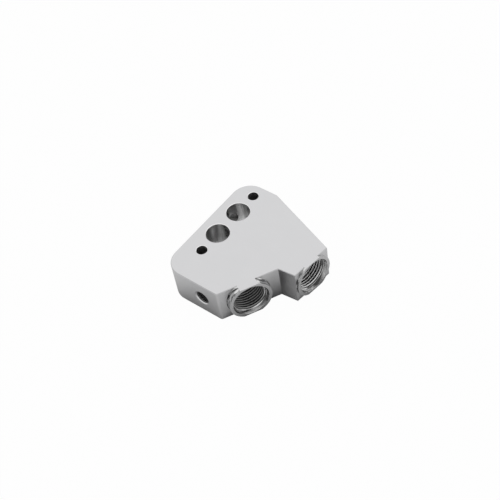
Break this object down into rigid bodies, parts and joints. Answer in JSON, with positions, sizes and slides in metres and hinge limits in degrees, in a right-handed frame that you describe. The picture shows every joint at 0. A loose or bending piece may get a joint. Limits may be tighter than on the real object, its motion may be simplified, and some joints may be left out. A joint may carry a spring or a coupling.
{
  "type": "oil cooler port block",
  "caption": "Machined aluminium port block: a flat plate with flow bores and bolt holes in its face, angled round bosses with threaded hose ports, and a tapped side port.",
  "frame": {"origin": "on the back face, midway between the two bolt holes", "axes": "+Z out of the bore face, +X along the row of holes towards the blunt right end, +Y towards the long straight edge"},
  "size_m": [0.0843, 0.0796, 0.0254],
  "materials": {
    "machined_aluminium": "satin machined faces, brighter turned and tapped bores"
  },
  "bodies": {
    "root": {"manifold_block": "machined_aluminium"}
  },
  "joints": []
}
